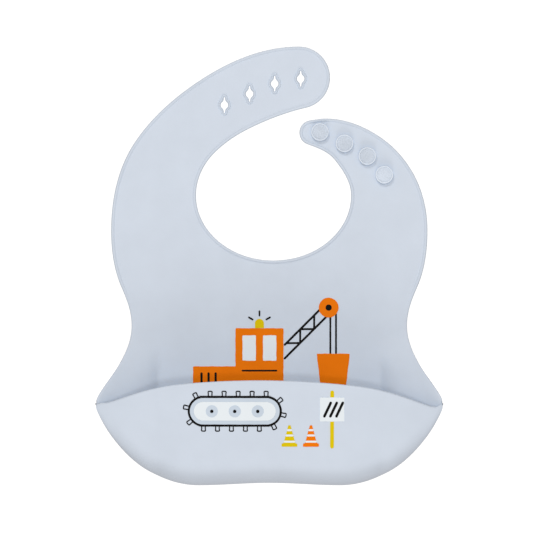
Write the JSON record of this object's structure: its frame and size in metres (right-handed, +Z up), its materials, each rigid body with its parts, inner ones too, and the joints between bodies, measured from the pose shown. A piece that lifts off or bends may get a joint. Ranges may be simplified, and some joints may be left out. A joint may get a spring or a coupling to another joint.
{
  "type": "baby bib",
  "caption": "Moulded silicone baby bib with an open scoop pocket, two neck straps that close with knobs and slots, and a printed digger.",
  "frame": {"origin": "centre of the neck opening on the bib's back face", "axes": "+Z up as worn, +Y from the front towards the wearer, +X to the right as seen from the front"},
  "size_m": [0.2436, 0.0444, 0.3105],
  "materials": {
    "silicone": "matte soft silicone, pale blue-grey",
    "silicone_trim": "matte soft silicone on beads, rims and knobs",
    "ink_orange": "printed silicone ink, satin",
    "ink_black": "printed silicone ink, satin",
    "ink_yellow": "printed silicone ink, satin",
    "ink_white": "printed silicone ink, satin",
    "ink_grey": "printed silicone ink, satin"
  },
  "bodies": {
    "chest": {"chest_panel": "silicone"},
    "slot_strap_base": {"slot_strap_base": "silicone"},
    "slot_strap_end": {"slot_strap_end": "silicone", "slot_rims": "silicone_trim"},
    "button_strap_base": {"button_strap_base": "silicone", "button_3": "silicone_trim", "button_4": "silicone_trim"},
    "button_strap_end": {"button_strap_end": "silicone", "button_1": "silicone_trim", "button_2": "silicone_trim"},
    "scoop": {"waist_panel": "silicone", "wing_left": "silicone", "wing_right": "silicone", "print_cab": "ink_orange", "print_windows": "ink_white", "print_marks": "ink_black", "print_beacon": "ink_yellow", "print_boom": "ink_black", "print_pulley": "ink_orange", "print_pulley_hub": "ink_black", "print_cables": "ink_black", "print_bucket": "ink_orange"},
    "pocket": {"corner_left": "silicone", "corner_right": "silicone", "pocket_floor": "silicone", "pocket_front": "silicone", "lip_bead": "silicone_trim", "print_track": "ink_black", "print_track_band": "ink_grey", "print_track_fill": "ink_white", "print_hubs": "ink_grey", "print_hub_dots": "ink_black", "print_yellow_cone": "ink_yellow", "print_orange_cone": "ink_orange", "print_cone_stripes": "ink_white", "print_post": "ink_yellow", "print_board": "ink_white", "print_board_marks": "ink_black"}
  },
  "joints": [
    {"name": "slot_strap_root_bend", "type": "hinge", "parent": "chest", "child": "slot_strap_base", "pos_m": [-0.08371, 0, 0.01476], "axis": [-0.9848, 0, 0.1736], "range_deg": [-20, 70], "stiffness_Nm_per_rad": 0.12},
    {"name": "slot_strap_mid_bend", "type": "hinge", "parent": "slot_strap_base", "child": "slot_strap_end", "pos_m": [-0.05657, 0, 0.05657], "axis": [-0.7071, 0, 0.7071], "range_deg": [-20, 70], "stiffness_Nm_per_rad": 0.08},
    {"name": "button_strap_root_bend", "type": "hinge", "parent": "chest", "child": "button_strap_base", "pos_m": [0.08495, 0, -0.00297], "axis": [-0.9994, 0, 0.0349], "range_deg": [-20, 70], "stiffness_Nm_per_rad": 0.12},
    {"name": "button_strap_mid_bend", "type": "hinge", "parent": "button_strap_base", "child": "button_strap_end", "pos_m": [0.06105, 0, 0.03426], "axis": [-0.8721, 0, -0.4894], "range_deg": [-20, 70], "stiffness_Nm_per_rad": 0.08},
    {"name": "waist_bend", "type": "hinge", "parent": "chest", "child": "scoop", "pos_m": [-0.003, -0.0026, -0.068], "axis": [-1, 0, 0], "range_deg": [-25, 90], "stiffness_Nm_per_rad": 0.3},
    {"name": "pocket_flex", "type": "hinge", "parent": "scoop", "child": "pocket", "pos_m": [-0.003, 0, -0.203], "axis": [1, 0, 0], "range_deg": [-10, 15], "stiffness_Nm_per_rad": 0.6}
  ],
  "couplings": [
    {"joint": "slot_strap_mid_bend", "follows": "slot_strap_root_bend", "ratio": 1},
    {"joint": "button_strap_mid_bend", "follows": "button_strap_root_bend", "ratio": 1}
  ]
}
